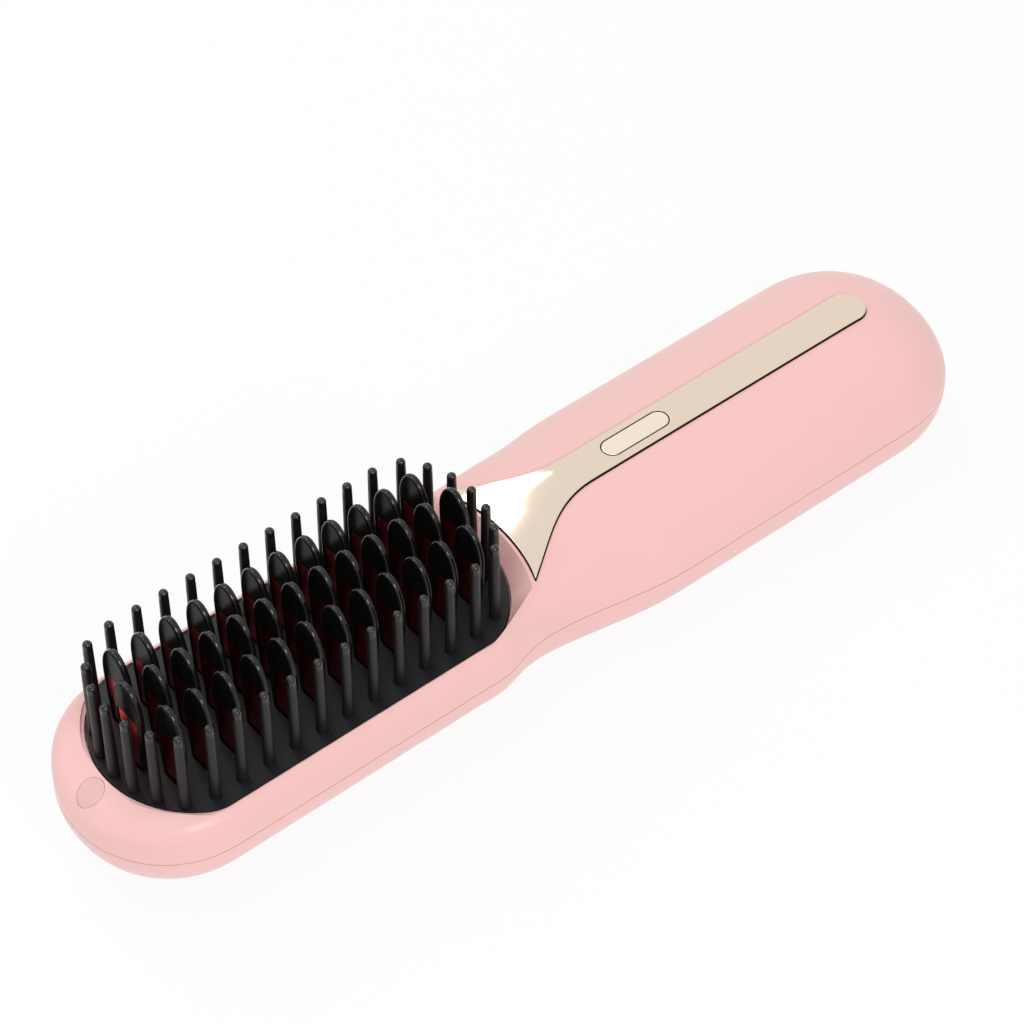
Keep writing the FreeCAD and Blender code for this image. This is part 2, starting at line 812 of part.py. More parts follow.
bottom_bars += [column(f"charge_post_{index}", "charge_post_radius", spot, "0", CHARGE_LOW)
                for index, spot in enumerate(charge_spots)]
bottom_bosses = shared("bottom_bosses", [join("bottom_bars", bottom_bars), trim_bed])
pilot_ways = [column(f"pilot_way_{index}", "case_screw_radius + screw_gap", spot, f"{low} - screw_gap", ABOVE)
              for index, (spot, low) in enumerate(zip(case_spots, case_lows))]
bottom_body = join("bottom_body", [lower_shell, lip, bottom_bosses], merged=False)
bottom_cuts = [socket_hole] + pilot_ways
node("bottom_casing", cut("bottom_casing_cut", bottom_body, bottom_cuts, merged=False))

# Gold trim, button, plug

trim_plan = prism("trim_plan", trim_outline(0), "seam_height", ABOVE)
trim_hole = prism("trim_hole", button_outline(size["button_gap"]), "seam_height", ABOVE)
trim_solid = shared("trim_solid", [trim_plan, trim_crown])
node("top_trim", cut("top_trim_cut", trim_solid, [trim_base, trim_hole]))

button_post = prism("button_post", button_outline(0), FLANGE_LOW, ABOVE)
button_flange = prism("button_flange", button_outline(size["flange_margin"]), FLANGE_LOW,
                      f"{FLANGE_LOW} + flange_thickness")
button_top = shared("button_top", [button_post, trim_crown])
node("power_button", join("power_button_join", [button_top, button_flange]))

plug_bar = column("plug_bar", "plug_radius", nose_spot, "plug_low", ABOVE)
node("screw_plug", shared("screw_plug_shape", [plug_bar, outer]))

# Comb plate, pins, fins and caps

pin_shank = rod("pin_shank", "pin_base_radius", "0", "0", "-comb_thickness", "comb_thickness")
pin_cone = doc.addObject("Part::Cone", "pin_cone")
pin_cone.setExpression("Radius1", rule("pin_base_radius"))
pin_cone.setExpression("Radius2", rule("pin_tip_radius"))
pin_cone.setExpression("Height", rule("pin_height"))
pin_ball = doc.addObject("Part::Sphere", "pin_ball")
pin_ball.setExpression("Radius", rule("pin_tip_radius"))
place(pin_ball, z="pin_height")
pin = join("pin", [pin_shank, pin_cone, pin_ball])
pin_bore = rod("pin_bore", "pin_base_radius + pin_gap", "0", "0", "-comb_thickness", "comb_thickness")

pin_spots = []
for side in (-1, 1):
    for index in range(SIDE_PINS):
        along = (index - (SIDE_PINS - 1) / 2) * size["pin_pitch"]
        pin_spots.append(Vector(size["pin_field"] + along, side * size["pin_row"], 0))
    for index in range(END_PINS):
        angle = math.radians((index - (END_PINS - 1) / 2) * END_PIN_STEP_DEGREES)
        along = size["pin_arc_centre"] + size["pin_arc_radius"] * math.cos(angle)
        across = size["pin_arc_radius"] * math.sin(angle)
        pin_spots.append(Vector(size["pin_field"] + side * along, across, 0))



def fin_row(count, row, lift):
    """Spots of one row of fins."""
    first = size["fin_field"] - (count - 1) / 2 * size["fin_pitch"]
    return [Vector(first + index * size["fin_pitch"], row, lift) for index in range(count)]


outer_spots = fin_row(OUTER_FINS, size["fin_row"], 0) + fin_row(OUTER_FINS, -size["fin_row"], 0)
middle_spots = fin_row(MIDDLE_FINS, 0, size["fin_middle_lift"])
fin_spots = outer_spots + middle_spots


def leaf_outline(inset, low):
    """Leaf of a fin seen along X, moved inward: flat foot at a height, sides that widen, oval top."""
    half = size["leaf_half_width"] - inset
    belly = size["fin_height"] - size["leaf_top"]
    rise = size["leaf_top"] - inset
    turns = [math.pi * step / LEAF_STEPS for step in range(LEAF_STEPS + 1)]
    oval = [Vector(0, half * math.cos(turn), belly + rise * math.sin(turn)) for turn in turns]
    foot = Vector(0, size["leaf_foot_half_width"] - inset, low)
    up = Vector(0, 0, 1)
    lean = (oval[0] - foot).normalize()
    far = spline([foot, oval[0]], lean, up)
    near = spline([mirrored(foot), oval[-1]], mirrored(lean), up)
    return Part.Wire([far, curve(oval), near, line(mirrored(foot), foot)])


def brow_outline(drop):
    """Everything below the arched lower edge of a cap's front, lowered by a gap."""
    edge = size["cap_start"] - drop
    far = Vector(0, size["leaf_half_width"], edge)
    middle = Vector(0, 0, edge + size["cap_brow"])
    down = Vector(0, 0, -edge - size["beyond"])
    return Part.Wire([
        arc(far, middle, mirrored(far)),
        line(mirrored(far), mirrored(far) + down),
        line(mirrored(far) + down, far + down),
        line(far + down, far),
    ])


BLADE_SPAN = ("-fin_thickness / 2", "fin_thickness")
CAP_SPAN = ("-cap_thickness / 2", "cap_thickness")
FOOT_HALF = "leaf_foot_half_width - cap_border - tongue_gap"
tongue_gap = size["tongue_gap"]
blade_leaf = slab("blade_leaf", leaf_outline(size["cap_border"] + tongue_gap, 0), *BLADE_SPAN)
blade_space = slab("blade_space", brow_outline(tongue_gap), *BLADE_SPAN)
blade_foot = box("blade_foot", both("fin_thickness / 2"), both(FOOT_HALF), ("-comb_thickness", "0"))
blade_tenon = box("blade_tenon", both("fin_thickness / 2"), both("fin_tenon_half_width"), ("-fin_root", "0"))
blade_tongue = box("blade_tongue", both("tongue_thickness / 2"), both("tongue_half_width"),
                   ("0", "cap_start + tongue_reach"))
blade_face = shared("blade_face", [blade_leaf, blade_space])
blade = join("blade", [blade_face, blade_foot, blade_tenon, blade_tongue])


def fin_cap(name, low):
    """Leaf-shaped frame with rounded edges that stands on the comb plate, solid above its window."""
    leaf = slab(f"{name}_leaf", leaf_outline(0, low), *CAP_SPAN)
    doc.recompute()
    rounded = doc.addObject("Part::Fillet", f"{name}_rounded")
    rounded.Base = leaf
    edges = [number for number, edge in enumerate(leaf.Shape.Edges, 1)
             if edge.BoundBox.XLength < size["cap_round"] < edge.BoundBox.ZLength]
    rounded.Edges = [(number, size["cap_round"], size["cap_round"]) for number in edges]
    window_leaf = slab(f"{name}_window_leaf", leaf_outline(size["cap_border"], low), *CAP_SPAN)
    window_space = slab(f"{name}_window_space", brow_outline(0), *CAP_SPAN)
    window = shared(f"{name}_window", [window_leaf, window_space])
    slot = box(f"{name}_slot", both("tongue_thickness / 2 + tongue_gap"),
               both("tongue_half_width + tongue_gap"), ("0", "cap_start + tongue_reach + tongue_gap"))
    return cut(name, rounded, [window, slot])


outer_cap = fin_cap("outer_cap", 0)
middle_cap = fin_cap("middle_cap", -size["fin_middle_lift"])

comb_slot = box("comb_slot", both("fin_thickness / 2 + fin_gap"), both(f"{FOOT_HALF} + fin_gap"),
                ("-comb_thickness - fin_middle_lift - beyond", "beyond"))
tenon_slot = box("tenon_slot", both("fin_thickness / 2 + tongue_gap"),
                 both("fin_tenon_half_width + tongue_gap"), ("-fin_root - tongue_gap", "0"))

comb_blank = prism("comb_blank", comb_outline(0), COMB_FLOOR, "comb_top")
pin_bores = place(array("pin_bores", pin_bore, pin_spots), z="comb_top")
comb_slots = place(array("comb_slots", comb_slot, fin_spots), z="comb_top")
clamp_spots = [(f"fin_field {end} clamp_screw_reach", f"{side}clamp_screw_row")
               for end in ("+", "-") for side in ("", "-")]
clamp_ways = [column(f"clamp_way_{index}", "clamp_screw_radius + screw_gap", spot, CLAMP_LOW,
                     "comb_top - clamp_screw_cover + screw_gap")
              for index, spot in enumerate(clamp_spots)]
node("comb_plate", cut("comb_plate_cut", comb_blank, [pin_bores, comb_slots] + clamp_ways))
node("perimeter_pins", place(array("perimeter_pins_array", pin, pin_spots), z="comb_top"))
node("heating_fins", place(array("heating_fins_array", blade, fin_spots), z="comb_top"))
caps = [array("outer_caps", outer_cap, outer_spots), array("middle_caps", middle_cap, middle_spots)]
all_caps = feature("fin_caps_array", Part.makeCompound([rows.Shape for rows in caps]))
node("fin_caps", place(all_caps, z="comb_top"))

# Heater stack under the comb plate

heater_blank = prism("heater_blank", comb_outline(size["heater_plate_inset"]), HEATER_LOW, HEATER_TOP)
tenon_slots = place(array("tenon_slots", tenon_slot, fin_spots), z="comb_top")
node("heater_plate", cut("heater_plate_cut", heater_blank, [tenon_slots]))

ceramic_long = ("fin_field - ceramic_half_length", "fin_field + ceramic_half_length")
ceramic_strips = [
    box("ceramic_far", ceramic_long, ("ceramic_half_gap", "ceramic_half_gap + ceramic_width"),
        (CERAMIC_LOW, HEATER_LOW)),
    box("ceramic_near", ceramic_long, ("-ceramic_half_gap - ceramic_width", "-ceramic_half_gap"),
        (CERAMIC_LOW, HEATER_LOW)),
]
node("ceramic_heater", join("ceramic_heater_join", ceramic_strips))
node("heat_insulator", prism("heat_insulator_prism", comb_outline(size["mica_inset"]), MICA_LOW, CERAMIC_LOW))
clamp_blank = prism("clamp_blank", comb_outline(size["clamp_inset"]), CLAMP_LOW, MICA_LOW)
node("heater_clamp", cut("heater_clamp_cut", clamp_blank, clamp_ways))

frame_ring = prism("frame_ring", comb_outline(size["frame_inset"]), MICA_LOW, COMB_FLOOR)
frame_flange = prism("frame_flange", comb_outline(size["frame_flange_inset"]), MICA_LOW, FRAME_STEP)
frame_bore = prism("frame_bore", comb_outline(size["frame_bore_inset"]), BELOW, ABOVE)
frame_notch = box("frame_notch", ("comb_right - notch_length", "comb_right"), both("notch_half_width"),
                  (BELOW, f"{MICA_LOW} + notch_height"))
node("heater_frame", cut("heater_frame_cut", join("frame_blank", [frame_ring, frame_flange]),
                         [frame_bore, frame_notch] + clamp_ways))


def screw(name, spot, shank_radius, shank_low, shank_high, head_radius, head_low, head_high):
    """Plain screw: a shank and a flat head on one upright axis."""
    shank = column(f"{name}_shank", shank_radius, spot, shank_low, shank_high)
    head = column(f"{name}_head", head_radius, spot, head_low, head_high)
    return join(name, [shank, head])


clamp_screws = [screw(f"clamp_screw_{index}", spot, "clamp_screw_radius", CLAMP_LOW,
                      "comb_top - clamp_screw_cover", "clamp_head_radius",
                      f"{CLAMP_LOW} - clamp_head_height", CLAMP_LOW)
                for index, spot in enumerate(clamp_spots)]
node("clamp_screws", join("clamp_screws_join", clamp_screws))

node("thermistor", rod("thermistor_bead", "thermistor_radius", "fin_field", "0",
                       f"{HEATER_LOW} - thermistor_radius", "thermistor_length", "x"))
node("thermal_fuse", rod("thermal_fuse_bar", "fuse_radius", "fin_field", "fuse_row",
                         f"{CLAMP_LOW} - fuse_radius", "fuse_length", "x"))

# Cells and their cradle

near_cell = rod("near_cell_bar", "cell_radius", "cell_start", "-cell_row", "cell_height", "cell_length", "x")
far_cell = rod("far_cell_bar", "cell_radius", "cell_start", "cell_row", "cell_height", "cell_length", "x")
node("near_cell", near_cell)
node("far_cell", far_cell)
link_height = ("cell_height - link_half_height", "cell_height + link_half_height")
links = [box("back_link", (CELL_END, f"{CELL_END} + link_thickness"), both("link_half_width"), link_height)]
for side, row in (("far", "cell_row"), ("near", "-cell_row")):
    links.append(box(f"{side}_tab", ("cell_start - link_thickness", "cell_start"),
                     (f"{row} - tab_half_width", f"{row} + tab_half_width"), link_height))
node("cell_links", join("cell_links_join", links))

cradle_block = box("cradle_block", ("cell_start + cradle_margin", f"{CELL_END} - cradle_margin"), ALL_WIDE,
                   ("0", "cradle_top"))
cradle_body = shared("cradle_body", [cradle_block, cradle_form])
cell_beds = [rod(f"{side}_bed", "cell_radius + cell_gap", "cell_start", row, "cell_height",
                 "cell_length", "x")
             for side, row in (("far", "cell_row"), ("near", "-cell_row"))]
node("battery_cradle", cut("battery_cradle_cut", cradle_body, cell_beds))

# Control board, switch and their screws

board_blank = box("board_blank", ("board_start", "board_end"), both("board_half_width"),
                  (BOARD_LOW, BOARD_TOP))
node("control_board", cut("control_board_cut", board_blank, post_ways))
board_screws = [screw(f"board_screw_{index}", spot, "board_screw_radius", BOARD_LOW,
                      f"{BOARD_TOP} + board_screw_reach", "board_head_radius",
                      f"{BOARD_LOW} - board_head_height", BOARD_LOW)
                for index, spot in enumerate(post_spots)]
node("board_screws", join("board_screws_join", board_screws))

button_spot = ("button_centre", "0")
switch_block = box("switch_block", ("button_centre - switch_half_width", "button_centre + switch_half_width"),
                   both("switch_half_width"), (BOARD_TOP, SWITCH_TOP))
switch_bore = column("switch_bore", "plunger_radius + plunger_gap", button_spot,
                     f"{SWITCH_TOP} - plunger_bore_depth", PLUNGER_TOP)
node("switch_body", cut("switch_body_cut", switch_block, [switch_bore]))
node("switch_plunger", column("switch_plunger_bar", "plunger_radius", button_spot,
                              f"{SWITCH_TOP} - plunger_depth", PLUNGER_TOP))

# Charging socket on its own small board

socket_long = "socket_mouth - socket_front"
socket_block = slab("socket_block", socket_outline(0), "socket_front", socket_long)
socket_floor = "socket_front + socket_back_wall"
socket_hollow = slab("socket_hollow", socket_outline(-size["socket_wall"]), socket_floor, socket_long)
node("socket_shell", cut("socket_shell_cut", socket_block, [socket_hollow]))
tongue_long = (socket_floor, "socket_mouth - tongue_plate_recess")
tongue_height = ("seam_height - tongue_plate_thickness / 2", "seam_height + tongue_plate_thickness / 2")
node("socket_tongue", box("socket_tongue_bar", tongue_long, both("tongue_plate_half_width"), tongue_height))
node("charge_board", box("charge_board_slab", ("charge_start", "charge_end"), both("charge_half_width"),
                         (CHARGE_LOW, CHARGE_TOP)))

# Screws of the case

node("nose_screw", screw("nose_screw_join", nose_spot, "case_screw_radius", "nose_screw_low", "nose_head_low",
                         "case_head_radius", "nose_head_low", "nose_head_low + case_head_height"))
neck_screws = [screw(f"neck_screw_{index}", spot, "case_screw_radius", "neck_screw_low", "neck_head_low",
                     "case_head_radius", "neck_head_low", "neck_head_low + case_head_height")
               for index, spot in enumerate(neck_spots)]
node("neck_screws", join("neck_screws_join", neck_screws))

# Leads: straight runs joined by tangent bends

comb_floor = size["comb_top"] - size["comb_thickness"]
heater_low = comb_floor - size["heater_gap"] - size["heater_plate_thickness"]
ceramic_low = heater_low - size["ceramic_thickness"]
board_low = size["cell_height"] + size["cell_radius"] + size["board_gap"]
charge_top = size["seam_height"] - size["socket_height"] / 2


def route(points):
    """Path through points with every corner rounded by the bend radius."""
    bend = size["lead_bend"]
    edges = []
    start = points[0]
    for before, corner, after in zip(points, points[1:], points[2:]):
        back = (before - corner).normalize()
        on = (after - corner).normalize()
        half_angle = back.getAngle(on) / 2
        reach = bend / math.tan(half_angle)
        inward = (back + on).normalize()
        middle = corner + inward * (bend / math.sin(half_angle) - bend)
        edges.append(line(start, corner + back * reach))
        edges.append(arc(corner + back * reach, middle, corner + on * reach))
        start = corner + on * reach
    edges.append(line(start, points[-1]))
    return Part.Wire(edges)


def lead(points, radius):
    """Round wire along a route."""
    path = route(points)
    circle = Part.Circle(points[0], points[1] - points[0], radius)
    return path.makePipeShell([Part.Wire([circle.toShape()])], True, False)


def leads(name, runs, radius):
    """Pair of wires as separate solids."""
    return node(name, feature(f"{name}_pair", Part.makeCompound([lead(run, radius) for run in runs])))


def heater_run(side):
    radius = size["heater_lead_radius"]
    low = ceramic_low + radius
    high = board_low - radius
    inner = side * size["heater_lead_row"]
    outer_row = side * size["heater_lead_side"]
    return [
        Vector(size["fin_field"] + size["ceramic_half_length"], inner, low),
        Vector(size["lead_turn_start"], inner, low),
        Vector(size["lead_turn_end"], outer_row, low),
        Vector(size["lead_climb_start"], outer_row, low),
        Vector(size["lead_climb_end"], outer_row, high),
        Vector(size["lead_landing"] - size["post_radius"], outer_row, high),
    ]


def sensor_run(side):
    radius = size["sensor_lead_radius"]
    low = heater_low - size["thermistor_radius"]
    high = board_low - radius
    across = side * size["sensor_lead_row"]
    return [
        Vector(size["fin_field"] + size["thermistor_length"], across, low),
        Vector(size["lead_climb_start"], across, low),
        Vector(size["lead_climb_end"], across, high),
        Vector(size["lead_landing"], across, high),
    ]


def battery_run(side):
    across = side * size["cell_row"]
    return [
        Vector(size["cell_start"] - size["link_thickness"], across, size["cell_height"]),
        Vector(size["battery_lead_bend"], across, size["cell_height"]),
        Vector(size["battery_lead_bend"], across, board_low),
    ]


def charge_run(side):
    radius = size["supply_lead_radius"]
    across = side * size["charge_lead_row"]
    high = board_low - radius
    return [
        Vector(size["charge_lead_drop"], across, charge_top),
        Vector(size["charge_lead_drop"], across, size["charge_lead_height"]),
        Vector(size["charge_lead_climb"], across, size["charge_lead_height"]),
        Vector(size["charge_lead_top"], across, high),
        Vector(size["charge_lead_end"], across, high),
    ]


leads("heater_leads", [heater_run(side) for side in (-1, 1)], size["heater_lead_radius"])
leads("sensor_leads", [sensor_run(side) for side in (-1, 1)], size["sensor_lead_radius"])
leads("battery_leads", [battery_run(side) for side in (-1, 1)], size["supply_lead_radius"])
leads("charge_leads", [charge_run(side) for side in (-1, 1)], size["supply_lead_radius"])

# Check every object, then write one file for each sub-part

doc.recompute()
for item in doc.Objects:
    if {"Invalid", "Error"} & set(item.State):
        raise RuntimeError(f"{item.Name} did not build")
for item in nodes:
    if item.Shape.isNull() or not item.Shape.isValid() or item.Shape.Volume <= 0:
        raise RuntimeError(f"{item.Label} has no sound shape")

os.makedirs("parts", exist_ok=True)
for item in nodes:
    item.Shape.exportStep(f"parts/{item.Label}.step")
    print(f"{item.Label}: {len(item.Shape.Solids)} solids, volume {item.Shape.Volume:.1f}")
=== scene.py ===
import math

import bpy
from mathutils import Matrix, Quaternion, Vector

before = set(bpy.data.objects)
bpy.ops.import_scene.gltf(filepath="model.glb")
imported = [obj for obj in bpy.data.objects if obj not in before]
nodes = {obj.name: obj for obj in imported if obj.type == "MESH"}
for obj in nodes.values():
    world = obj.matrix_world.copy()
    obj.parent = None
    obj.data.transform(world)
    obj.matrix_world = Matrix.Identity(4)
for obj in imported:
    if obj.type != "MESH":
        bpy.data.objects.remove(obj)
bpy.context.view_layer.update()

X, Y, Z = 0, 1, 2
MICRON = 1e-6
WHITE = (1.0, 1.0, 1.0, 1.0)


class Wire:
    """One output of a shader node. Arithmetic on it adds Math nodes."""

    def __init__(self, wiring, node, output):
        self.wiring = wiring
        self.node = node
        self.output = output

    def other(self, output):
        """Another output of the same node."""
        return Wire(self.wiring, self.node, output)

    def __add__(self, value):
        return self.wiring.math("ADD", self, value)

    def __radd__(self, value):
        return self.wiring.math("ADD", value, self)

    def __sub__(self, value):
        return self.wiring.math("SUBTRACT", self, value)

    def __rsub__(self, value):
        return self.wiring.math("SUBTRACT", value, self)

    def __mul__(self, value):
        return self.wiring.math("MULTIPLY", self, value)

    def __rmul__(self, value):
        return self.wiring.math("MULTIPLY", value, self)


class Wiring:
    """Node tree of a material or of the world. Every new node comes from add."""

    def __init__(self, owner):
        owner.use_nodes = True
        self.tree = owner.node_tree

    def add(self, kind, settings=None, inputs=None, output=0):
        """New node of any type: settings first, then the values or wires of its sockets."""
        node = self.tree.nodes.new(kind)
        for key, value in (settings or {}).items():
            setattr(node, key, value)
        for key, value in (inputs or {}).items():
            self.feed(node.inputs[key], value)
        return Wire(self, node, output)

    def feed(self, socket, value):
        """Link a wire to a socket, or set a plain value on it."""
        if isinstance(value, Wire):
            self.tree.links.new(value.node.outputs[value.output], socket)
        else:
            socket.default_value = value

    def math(self, operation, *values):
        """Math node on wires and numbers, in the order given."""
        return self.add("ShaderNodeMath", {"operation": operation}, dict(enumerate(values)))


class Finish(Wiring):
    """Material with one Principled shader. Plain values are set on its sockets, wires linked."""

    def __init__(self, name, **plain):
        self.material = bpy.data.materials.new(name)
        super().__init__(self.material)
        self.shader = self.tree.nodes["Principled BSDF"]
        self.set(**plain)
        self.place = self.add("ShaderNodeTexCoord", output="Object")

    def set(self, **values):
        """Sockets of the shader by name, with _ for a space."""
        for name, value in values.items():
            self.feed(self.shader.inputs[name.replace("_", " ")], value)

    def noise(self, scale, detail=3.0, roughness=0.5):
        """Soft grey noise from 0 to 1 with so many waves to the metre."""
        inputs = {"Vector": self.place, "Scale": scale, "Detail": detail, "Roughness": roughness}
        return self.add("ShaderNodeTexNoise", inputs=inputs)

    def grain(self, scale):
        """Fine crisp noise of a moulding's skin."""
        return self.noise(scale, roughness=0.6)

    def blend(self, factor, low, high):
        """Colour between two colours."""
        inputs = {0: factor, 6: low, 7: high}
        return self.add("ShaderNodeMix", {"data_type": "RGBA"}, inputs, output=2)

    def span(self, value, low, high):
        """Stretch a value so that low gives 0 and high gives 1."""
        inputs = {"Value": value, "From Min": low, "From Max": high}
        return self.add("ShaderNodeMapRange", {"clamp": True}, inputs)

    def rounded(self, radius):
        """Normals of the surface with its edges rounded by a radius in metres."""
        return self.add("ShaderNodeBevel", {"samples": 6}, {"Radius": radius})

    def facing(self, axis):
        """How squarely the face looks along an axis, either way: 1 is square on."""
        normal = self.add("ShaderNodeNewGeometry", output="True Normal")
        part = self.add("ShaderNodeSeparateXYZ", inputs={0: normal}, output=axis)
        return self.math("ABSOLUTE", part)

    def bump(self, height, relief, edge=0.0):
        """Relief so many metres deep where height is 1, over edges rounded by a radius."""
        inputs = {"Height": height, "Distance": relief}
        if edge:
            inputs["Normal"] = self.rounded(edge)
        self.set(Normal=self.add("ShaderNodeBump", inputs=inputs))


def tinted(colour, share=1.0):
    """Opaque colour with every channel scaled by a share."""
    return tuple(channel * share for channel in colour[:3]) + (1.0,)


def swing(noise, width):
    """Noise turned into a swing about zero, so wide from end to end."""
    return (noise - 0.5) * width


# Finishes of the pieces

PINK = (0.905, 0.545, 0.52)
CHAMPAGNE = (0.79, 0.66, 0.54)
BUTTON_GOLD = (0.87, 0.75, 0.62)
# Dark brown painted on the trim's upright sides: painted shade of the edge and its gap
SIDE_PAINTED_SHADE = (0.085, 0.048, 0.04)
FIN_RED = (0.58, 0.01, 0.024)
COMB_BLACK = (0.008, 0.0085, 0.0105)
CAP_BLACK, CAP_BLACK_PALE = (0.0045, 0.0045, 0.005), (0.006, 0.006, 0.007)
PIN_BLACK, PIN_BLACK_PALE = (0.008, 0.0074, 0.0078), (0.013, 0.012, 0.0125)
VARNISH, VARNISH_PALE = (0.01, 0.12, 0.05), (0.015, 0.16, 0.07)
TRACK_GREEN = (0.05, 0.3, 0.12)

SHELL_GRAIN = 3200.0
SHELL_EDGE = 100 * MICRON
CLOUD_WAVES = 45.0
STREAKS_ACROSS, STREAKS_ALONG = 2600.0, 60.0
PIN_TIP_FROM, PIN_TIP_TO = 0.0425, 0.0437
TRACKS_ACROSS, TRACKS_ALONG = 900.0, 350.0


def moulded(name, colour, roughness, grain, relief, variation=0.06, edge=0.0, **plain):
    """Moulded plastic: faint cloudy colour, uneven gloss and a fine grain."""
    finish = Finish(name, **plain)
    cloud = finish.noise(CLOUD_WAVES)
    fine = finish.grain(grain)
    dull, bright = tinted(colour, 1 - variation), tinted(colour, 1 + variation / 2)
    finish.set(Base_Color=finish.blend(cloud, dull, bright))
    finish.set(Roughness=roughness + swing(cloud, 0.08) + swing(fine, 0.1))
    finish.bump(fine, relief, edge)
    return finish.material


def drawn_metal(name, colour, roughness, streak_axis, relief, variation=0.08):
    """Metal drawn along one axis: long fine streaks in colour, gloss and relief."""
    finish = Finish(name, Metallic=1.0)
    scale = [STREAKS_ACROSS] * 3
    scale[streak_axis] = STREAKS_ALONG
    stretched = finish.add("ShaderNodeMapping", inputs={"Vector": finish.place, "Scale": scale})
    inputs = {"Vector": stretched, "Scale": 1.0, "Detail": 2.0}
    streaks = finish.add("ShaderNodeTexNoise", inputs=inputs)
    dull, bright = tinted(colour, 1 - variation), tinted(colour, 1 + variation)
    finish.set(Base_Color=finish.blend(streaks, dull, bright))
    finish.set(Roughness=roughness + swing(streaks, 0.12))
    finish.bump(streaks, relief)
    return finish.material


def cap_moulding():
    """Black leaf frames: deep black faces inside a rim with a bright gloss."""
    finish = Finish("black_gloss_cap", Specular_IOR_Level=0.03, Coat_Roughness=0.08)
    fine = finish.grain(1800.0)
    rim = finish.span(finish.facing(X), low=0.92, high=0.6)
    finish.set(Base_Color=finish.blend(fine, tinted(CAP_BLACK), tinted(CAP_BLACK_PALE)))
    finish.set(Roughness=0.16 + swing(fine, 0.06))
    finish.set(Coat_Weight=0.03 + rim * 0.65)
    finish.bump(fine, relief=2 * MICRON)
    return finish.material


def pin_moulding():
    """Black pins: satin shanks that turn glossy at the ball tips."""
    finish = Finish("black_pin", Specular_IOR_Level=0.3, Coat_Roughness=0.05)
    height = finish.add("ShaderNodeSeparateXYZ", inputs={0: finish.place}, output=Z)
    fine = finish.grain(2200.0)
    tip = finish.span(height, PIN_TIP_FROM, PIN_TIP_TO)
    finish.set(Base_Color=finish.blend(fine, tinted(PIN_BLACK), tinted(PIN_BLACK_PALE)))
    finish.set(Roughness=0.42 - tip * 0.3 + swing(fine, 0.08))
    finish.set(Coat_Weight=tip * 0.3)
    finish.bump(fine, relief=4 * MICRON)
    return finish.material


def trim_plating():
    """Champagne plating: a mirror with a moulding's slow waviness, with painted dark shade on its
    upright sides.
    """
    finish = Finish("champagne_plating", Metallic=1.0)
    haze = finish.noise(160.0)
    swell = finish.noise(70.0, detail=1.0)
    gilt = finish.blend(haze, tinted(CHAMPAGNE, 0.97), tinted(CHAMPAGNE, 1.02))
    # Upright sides turn dark brown and rougher: the colour is painted shade of the edge and its gap
    painted_shade_side = finish.span(finish.facing(Z), low=0.75, high=0.5)
    finish.set(Base_Color=finish.blend(painted_shade_side, gilt, tinted(SIDE_PAINTED_SHADE)))
    finish.set(Roughness=0.06 + haze * 0.03 + painted_shade_side * 0.3)
    finish.bump(swell, relief=40 * MICRON, edge=200 * MICRON)
    return finish.material


def button_plating():
    """Paler satin plating of the button, with a rounded rim."""
    finish = Finish("champagne_button", Metallic=1.0)
    haze = finish.noise(260.0)
    gold = finish.blend(haze, tinted(BUTTON_GOLD, 0.98), tinted(BUTTON_GOLD, 1.02))
    finish.set(Base_Color=gold)
    finish.set(Roughness=0.2 + haze * 0.06)
    finish.bump(haze, relief=4 * MICRON, edge=300 * MICRON)
    return finish.material


def printed_board():
    """Board with green varnish over a grid of raised tracks."""
    finish = Finish("printed_board", Coat_Roughness=0.2)
    along = finish.add("ShaderNodeSeparateXYZ", inputs={0: finish.place}, output=X)
    across = along.other(Y)
    row = finish.span(finish.math("FRACT", across * TRACKS_ACROSS), low=0.55, high=0.65)
    column = finish.span(finish.math("FRACT", along * TRACKS_ALONG), low=0.12, high=0.2)
    tracks = row * column
    varnish = finish.noise(300.0, detail=2.0)
    green = finish.blend(varnish, tinted(VARNISH), tinted(VARNISH_PALE))
    finish.set(Base_Color=finish.blend(tracks, green, tinted(TRACK_GREEN)))
    finish.set(Roughness=0.28 + varnish * 0.1)
    finish.bump(tracks, relief=20 * MICRON)
    return finish.material


pink_shell = moulded(
    "pink_satin_shell", PINK, roughness=0.36, grain=SHELL_GRAIN, relief=4 * MICRON,
    variation=0.025, edge=SHELL_EDGE,
    Specular_IOR_Level=0.42, Sheen_Weight=0.2, Sheen_Roughness=0.4)
pink_plug = moulded(
    "pink_plug", tinted(PINK, 0.89), roughness=0.4, grain=SHELL_GRAIN, relief=4 * MICRON,
    variation=0.03, edge=SHELL_EDGE)
black_comb = moulded(
    "black_comb_plate", COMB_BLACK, roughness=0.45, grain=2600.0, relief=12 * MICRON,
    variation=0.15, edge=80 * MICRON, Specular_IOR_Level=0.3)
dark_resin = moulded(
    "dark_resin", (0.03, 0.03, 0.032), roughness=0.5, grain=1500.0, relief=10 * MICRON,
    variation=0.15)
grey_resin = moulded(
    "grey_resin", (0.32, 0.32, 0.33), roughness=0.5, grain=1500.0, relief=10 * MICRON)
white_ceramic = moulded(
    "white_ceramic", (0.8, 0.79, 0.75), roughness=0.7, grain=2600.0, relief=10 * MICRON)
glazed_bead = moulded(
    "glazed_bead", (0.4, 0.12, 0.06), roughness=0.15, grain=1800.0, relief=3 * MICRON)
cell_wrap = moulded(
    "cell_wrap", (0.06, 0.2, 0.42), roughness=0.3, grain=1200.0, relief=6 * MICRON)
lead_white = moulded(
    "white_lead_jacket", (0.75, 0.73, 0.7), roughness=0.45, grain=1800.0, relief=6 * MICRON)
lead_red = moulded(
    "red_lead_jacket", (0.5, 0.03, 0.025), roughness=0.45, grain=1800.0, relief=6 * MICRON)
mica_sheet = moulded(
    "mica_sheet", (0.5, 0.4, 0.25), roughness=0.55, grain=700.0, relief=20 * MICRON,
    variation=0.3)
